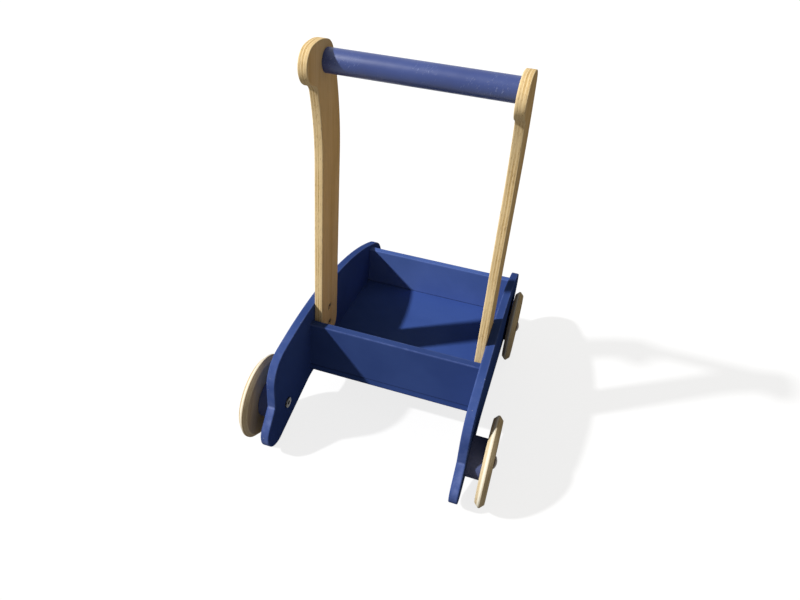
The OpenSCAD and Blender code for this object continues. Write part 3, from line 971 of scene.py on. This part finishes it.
def eased_profile(corners, ease, band):
    """A closed profile with rounded corners. Each corner is X, radius and whether it is eased."""
    points = []
    for i, (x, radius, eased) in enumerate(corners):
        corner = Vector((x, radius))
        if not eased:
            points.append((x, radius, 0.0))
            continue
        before = Vector(corners[i - 1][:2])
        after = Vector(corners[(i + 1) % len(corners)][:2])
        back = (before - corner).normalized()
        ahead = (after - corner).normalized()
        half = math.acos(max(-1.0, min(1.0, back.dot(ahead)))) / 2
        reach = ease / math.tan(half)
        centre = corner + (back + ahead).normalized() * ease / math.sin(half)
        start = heading(centre, corner + back * reach)
        turn = short_turn(start, heading(centre, corner + ahead * reach))
        if band:
            edge = corner + back * (reach + band)
            points.append((edge.x, edge.y, 0.0))
        # Eased points are marked paler on painted pieces: thin paint and a painted sheen
        for step in range(EASE_STEPS + 1):
            point = centre + polar(ease, start + turn * step / EASE_STEPS)
            points.append((point.x, point.y, EDGE_WEAR_AND_SHEEN))
        if band:
            edge = corner + ahead * (reach + band)
            points.append((edge.x, edge.y, 0.0))
    return points


def handed(profile, side):
    """A profile for the right (1) or mirrored for the left (-1)."""
    return [(side * x, radius, wear_and_painted_light) for x, radius, wear_and_painted_light in profile]


def wheel_profile(x):
    """A disc with a bore for its bush and a rim that tapers to a narrow flat."""
    middle = x + WHEEL_T / 2
    bore = BUSH_D / 2
    shoulder = wheel_r - RIM_DEPTH
    return eased_profile([
        (x, bore, False), (x, shoulder, True),
        (middle - RIM_FLAT / 2, wheel_r, True), (middle + RIM_FLAT / 2, wheel_r, True),
        (x + WHEEL_T, shoulder, True), (x + WHEEL_T, bore, False),
    ], RIM_EASE, band=0.0)


def spacer_profile(length):
    """A round block between panel and wheel."""
    bore = AXLE_D / 2 + HOLE_PLAY
    radius = SPACER_D / 2
    return eased_profile([
        (outer_x, bore, False), (outer_x, radius, True),
        (outer_x + length, radius, True), (outer_x + length, bore, False),
    ], TURNED_EASE, band=SPACER_BAND)


def thread(start, end, radius):
    """Ridges of a screw thread along a shank, as rings."""
    starts = [start + i * THREAD_PITCH for i in range(int((end - start) / THREAD_PITCH))]
    return [(at + x, radius - depth, 0.0) for at in starts for x, depth in THREAD_RIDGE]


def bolt_profile(wheel_x, tip):
    """Dome-headed axle bolt, from its tip out to the dome."""
    radius, head = AXLE_D / 2, DOME_D / 2
    thread_end = tip + NUT_L - BLIND_ROOM
    head_x = wheel_x + WHEEL_T + END_PLAY
    rise = DOME_H - DOME_RIM
    dome_r = (head ** 2 + rise ** 2) / (2 * rise)
    centre = head_x + DOME_H - dome_r
    first = math.acos(head / dome_r)
    profile = [(tip, 0.0, 0.0), (tip, radius - TIP_BEVEL, 0.0)]
    profile += thread(tip + TIP_L, thread_end, radius)
    profile += [(thread_end, radius, 0.0), (head_x, radius, 0.0)]
    profile += [(head_x, head - DOME_EDGE, 0.0), (head_x + DOME_EDGE, head, 0.0)]
    for i in range(DOME_STEPS + 1):
        angle = first + (math.pi / 2 - first) * i / DOME_STEPS
        profile.append((centre + dome_r * math.sin(angle), max(0.0, dome_r * math.cos(angle)), 0.0))
    return profile


def bar_profile():
    """Push bar with a tenon at each end: one half, and the same mirrored."""
    radius, tenon = BAR_D / 2, TENON_D / 2
    half = [(post_x * i / BAR_STEPS, radius, 0.0) for i in range(BAR_STEPS)]
    half.append((post_x - BAR_EASE - WEAR_BAND, radius, 0.0))
    # The eased end is marked paler: thin paint and a painted sheen
    for i in range(EASE_STEPS + 1):
        angle = math.radians(90 * i / EASE_STEPS)
        x = post_x - BAR_EASE + BAR_EASE * math.sin(angle)
        half.append((x, radius - BAR_EASE + BAR_EASE * math.cos(angle), BAR_EDGE_WEAR_AND_SHEEN))
    half += [(post_x, tenon, 0.0), (post_x + TENON_L, tenon, 0.0), (post_x + TENON_L, 0.0, 0.0)]
    return handed(reversed(half[1:]), -1.0) + half


def make_turned_pieces():
    """Wheels, spacers, axle bolts and the push bar."""
    for end, axle_y in AXLE_Y.items():
        axle = (axle_y, wheel_r)
        x = WHEEL_X[end]
        for hand, side in HAND.items():
            corner = f"{end}_{hand}"
            plywood = birch_plywood(f"birch plywood of {end} {hand} wheel", x, WHEEL_T, WHEEL_PLIES,
                                    WHEEL_TURN[corner], WHEEL_TONES, WHEEL_LIT_CORE[hand])
            profile = handed(wheel_profile(x), side)
            wheel = turned(f"turned_{corner}_wheel", profile, axle, STEPS_ROUND, plywood, ring=True)
            fit(wheel, f"{corner}_wheel_unit", "plywood", f"{corner}_wheel")
            profile = handed(spacer_profile(SPACER_L[end]), side)
            spacer = turned(f"turned_{corner}_spacer", profile, axle, STEPS_ROUND, spacer_paint, ring=True)
            fit(spacer, "walker_frame", "blue_paint", f"{corner}_spacer")
            profile = handed(bolt_profile(x, BOLT_TIP[end]), side)
            bolt = turned(f"domed_{corner}_axle_bolt", profile, axle, STEPS_ROUND_SMALL, shade_dark_steel)
            fit(bolt, "walker_frame", "zinc_plated_steel", f"{corner}_axle_bolt")
    bar = turned("turned_handle_bar", bar_profile(), (bar_y, BAR_Z), STEPS_ROUND, bar_paint)
    fit(bar, "walker_frame", "blue_paint", "handle_bar")


# Screws and nuts, set on their places by a tree

def fastener_tree():
    """Sets a copy of one fastener on every point, turned to face the right way."""
    inputs = {"Fastener": "NodeSocketObject", "Turn": "NodeSocketVector", "Finish": "NodeSocketMaterial"}
    tree, given = new_tree("fasteners on their places", "Places", inputs, "Fasteners")
    pattern = add(tree, "GeometryNodeObjectInfo", {"Object": given["Fastener"]})
    turn = add(tree, "FunctionNodeEulerToRotation", {0: given["Turn"]})
    copies = add(tree, "GeometryNodeInstanceOnPoints", {
        "Points": given["Places"],
        "Instance": pattern.outputs["Geometry"],
        "Rotation": turn.outputs[0],
    })
    end_tree(tree, copies.outputs[0], given["Finish"])
    return tree


fasteners = fastener_tree()


def set_fasteners(name, pattern, places, turn, finish):
    """Copies of a pattern on these places, turned by this many degrees about Z."""
    mesh = bpy.data.meshes.new(name + "_places")
    mesh.from_pydata([[part * MM for part in place] for place in places], [], [])
    values = {"Fastener": pattern, "Turn": (0.0, 0.0, math.radians(turn)), "Finish": finish}
    return run_tree(fasteners, name, mesh, values, finish)


def hexagon_reach(across_flats, angle):
    """Distance from the middle of a hexagon to its side at an angle."""
    return across_flats / 2 / math.cos(math.radians((angle + 30) % 60 - 30))


def soft_rim(radius):
    """The rounded rim of a flange or head, from its face at X = 0 to its side."""
    return [(share * SOFT_RIM, radius - inset * SOFT_RIM) for share, inset in SOFT_STEPS]


def nut_pattern():
    """Flanged nut with a hexagon socket; the flange's face is at X = 0 and the barrel runs to +X."""
    flange, barrel, bore = NUT_FLANGE_D / 2, NUT_D / 2, AXLE_D / 2
    end = NUT_FLANGE_T + NUT_L
    wall = SOCKET_DEPTH + NUT_WALL

    def profile_at(angle):
        socket = hexagon_reach(NUT_SOCKET_AF, angle)
        return [
            (SOCKET_DEPTH, MIDDLE_R), (SOCKET_DEPTH, socket),
            (NUT_MOUTH, socket), (0.0, socket + NUT_MOUTH),
            *soft_rim(flange), (NUT_FLANGE_T, flange), (NUT_FLANGE_T, barrel), (end, barrel),
            (end, bore), (wall, bore), (wall, MIDDLE_R),
        ]
    return ringed("nut pattern", profile_at)


def screw_pattern():
    """Socket screw; the head's face is at X = 0 and the shank runs to +X."""
    head, shank = SCREW_HEAD_D / 2, SCREW_D / 2
    end = POST_T - SCREW_SINK + INSERT_L

    def profile_at(angle):
        socket = hexagon_reach(SOCKET_AF, angle)
        return [
            (SOCKET_DEPTH + SOCKET_POINT, MIDDLE_R), (SOCKET_DEPTH, socket),
            (SCREW_MOUTH, socket), (0.0, socket + SCREW_MOUTH),
            *soft_rim(head), (SCREW_HEAD_H, head), (SCREW_HEAD_H, shank), (end, shank),
        ]
    return ringed("screw pattern", profile_at)


def make_fasteners():
    """Post screws and the nuts of the rear axles."""
    nut, screw = nut_pattern(), screw_pattern()
    for hand, side in HAND.items():
        turn = 0.0 if side > 0 else 180.0
        places = [(side * (post_x + SCREW_SINK), y, z) for y, z in screw_places]
        screws = set_fasteners(f"socket_{hand}_post_screws", screw, places, turn, bronze)
        fit(screws, "walker_frame", "zinc_plated_steel", f"{hand}_post_screws")
        places = [(side * (inner_x - NUT_FLANGE_T), rear_axle_y, wheel_r)]
        nuts = set_fasteners(f"flanged_rear_{hand}_axle_nut", nut, places, turn, shade_dark_zinc)
        fit(nuts, "walker_frame", "zinc_plated_steel", f"rear_{hand}_axle_nut")
    for pattern in (nut, screw):
        bpy.data.objects.remove(pattern)


HIDDEN_FINISHES = {"_dowels": dowel_wood, "_insert_nut": zinc, "_insert_nuts": zinc, "_bush": bush_nylon}


def finish_hidden_nodes():
    """The pieces inside the joints keep their CAD shape and get their own finish."""
    for node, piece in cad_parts.items():
        for ending, finish in HIDDEN_FINISHES.items():
            if node.endswith(ending):
                piece.data.materials.clear()
                piece.data.materials.append(finish)


# Studio, in metres and degrees, with lens and sensor in millimetres.
# KEY_WAY is the way that the key light shines, and FLOOR_LIFT makes the floor white to the eye.

KEY_WAY = Vector((0.636, 0.406, -0.656))
KEY_STRENGTH = 3.75
KEY_ANGLE = 2.6
AMBIENT = (0.215, 0.200, 0.170, 1.0)
BACKGROUND = (1.0, 1.0, 1.0, 1.0)
FLOOR_TONE = 0.20
FLOOR_ROUGHNESS = 0.9
FLOOR_LIFT = 0.808
FLOOR_SIZE = 24.0
CAMERA_PLACE = Vector((0.162793, -0.679936, 0.631707))
CAMERA_YAW = 14.7049
CAMERA_PITCH = -31.6356
CAMERA_ROLL = 5.0426
CAMERA_LENS = 27.569
CAMERA_SENSOR = 36.0
CAMERA_SHIFT = (-0.00599, -0.04119)
CAMERA_NEAR = 0.02


def plain_sight(tree):
    """One for a ray from the camera, a reflection or glass, and nought for light on the object."""
    path = add(tree, "ShaderNodeLightPath").outputs
    direct = reckon(tree, "MAXIMUM", path["Is Camera Ray"], path["Is Glossy Ray"])
    return reckon(tree, "MAXIMUM", direct, path["Is Transmission Ray"])


def make_floor():
    """A wide floor that looks white and keeps the object's shadow."""
    shape = bmesh.new()
    bmesh.ops.create_grid(shape, x_segments=1, y_segments=1, size=FLOOR_SIZE / 2)
    mesh = bpy.data.meshes.new("studio floor")
    shape.to_mesh(mesh)
    shape.free()
    floor = placed("studio_floor", mesh)
    material, tree, shader = new_finish("pale studio floor")
    shader.inputs["Base Color"].default_value = (FLOOR_TONE, FLOOR_TONE, FLOOR_TONE, 1.0)
    shader.inputs["Roughness"].default_value = FLOOR_ROUGHNESS
    strength = reckon(tree, "MULTIPLY", plain_sight(tree), FLOOR_LIFT)
    lift = add(tree, "ShaderNodeEmission", {"Strength": strength})
    both = add(tree, "ShaderNodeAddShader", {0: shader.outputs[0], 1: lift.outputs[0]})
    tree.links.new(both.outputs[0], tree.nodes["Material Output"].inputs["Surface"])
    mesh.materials.append(material)


def make_light():
    """A soft key light, and a world that is dim for the object and white to the eye."""
    key = bpy.data.lights.new("soft key", "SUN")
    key.energy = KEY_STRENGTH
    key.angle = math.radians(KEY_ANGLE)
    lamp = placed("soft_key", key)
    lamp.rotation_euler = KEY_WAY.to_track_quat("-Z", "Y").to_euler()
    world = bpy.data.worlds.new("white studio")
    bpy.context.scene.world = world
    world.use_nodes = True
    tree = world.node_tree
    shade = blended(tree, plain_sight(tree), AMBIENT, BACKGROUND)
    tree.links.new(shade, tree.nodes["Background"].inputs["Color"])


def make_camera():
    """A camera where the photograph was taken from."""
    yaw, pitch, roll = (math.radians(v) for v in (CAMERA_YAW, CAMERA_PITCH, CAMERA_ROLL))
    ahead = Vector((-math.sin(yaw) * math.cos(pitch), math.cos(yaw) * math.cos(pitch), math.sin(pitch)))
    right = ahead.cross(Vector((0, 0, 1))).normalized()
    up = right.cross(ahead)
    rolled_right = right * math.cos(roll) + up * math.sin(roll)
    rolled_up = up * math.cos(roll) - right * math.sin(roll)
    lens = bpy.data.cameras.new("photo camera")
    lens.sensor_width = CAMERA_SENSOR
    lens.lens = CAMERA_LENS
    lens.shift_x, lens.shift_y = CAMERA_SHIFT
    lens.clip_start = CAMERA_NEAR
    camera = placed("photo_camera", lens)
    turn = Matrix((rolled_right, rolled_up, -ahead)).transposed()
    camera.matrix_world = Matrix.Translation(CAMERA_PLACE) @ turn.to_4x4()
    bpy.context.scene.camera = camera


make_boards()
make_turned_pieces()
make_fasteners()
finish_hidden_nodes()
make_floor()
make_light()
make_camera()
bpy.context.scene.view_settings.view_transform = "Standard"
